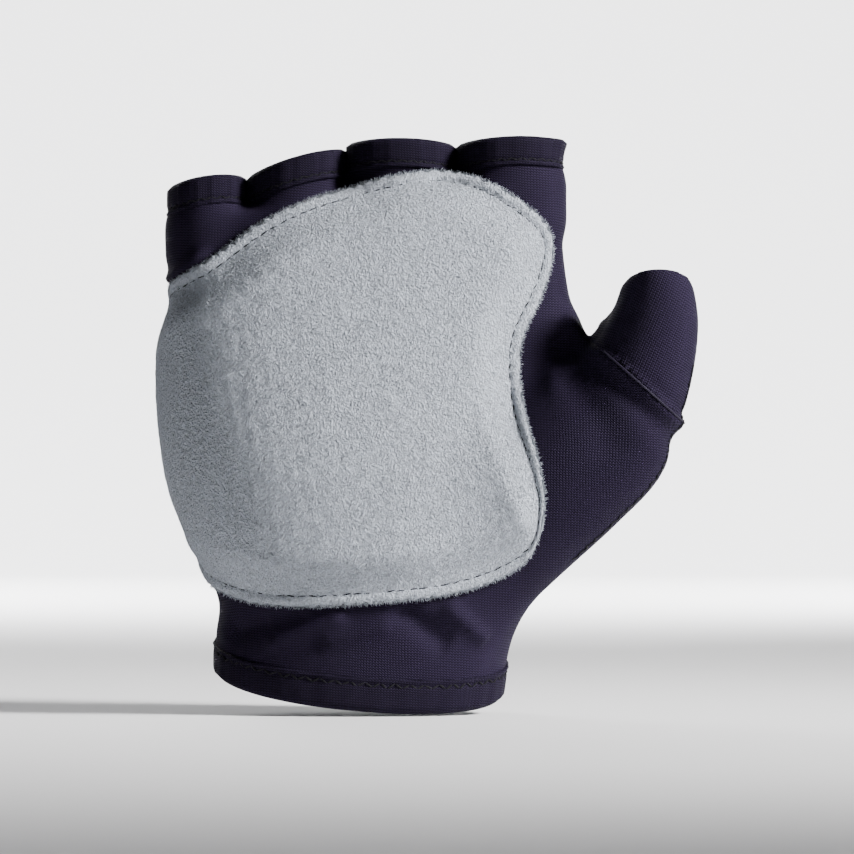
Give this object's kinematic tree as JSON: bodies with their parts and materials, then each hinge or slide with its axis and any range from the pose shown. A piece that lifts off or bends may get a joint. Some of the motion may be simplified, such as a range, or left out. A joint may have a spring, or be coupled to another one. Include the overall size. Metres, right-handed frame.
{
  "type": "fingerless impact glove",
  "caption": "Fingerless knit work glove for the right hand, worn form, with a padded suede patch sewn over the palm and round the little-finger edge.",
  "frame": {"origin": "centre of the wrist opening, where the hand goes in", "axes": "+Z from the wrist to the fingertips, palm faces -Y, back of the hand +Y, thumb at +X"},
  "size_m": [0.1222, 0.0507, 0.1301],
  "materials": {
    "navy_knit": "fine navy stretch knit with a soft sheen",
    "navy_hem": "the same knit turned double, cover stitched",
    "grey_suede": "cool light grey split leather with a short nap",
    "pad_polymer": "matt closed-cell polymer padding, hidden under the patch"
  },
  "bodies": {
    "root": {"hand_shell": "navy_knit", "thumb_stall": "navy_knit", "cuff_hem": "navy_hem", "hem_index": "navy_hem", "hem_middle": "navy_hem", "hem_ring": "navy_hem", "hem_little": "navy_hem", "suede_patch": "grey_suede", "impact_pad": "pad_polymer"}
  },
  "joints": []
}
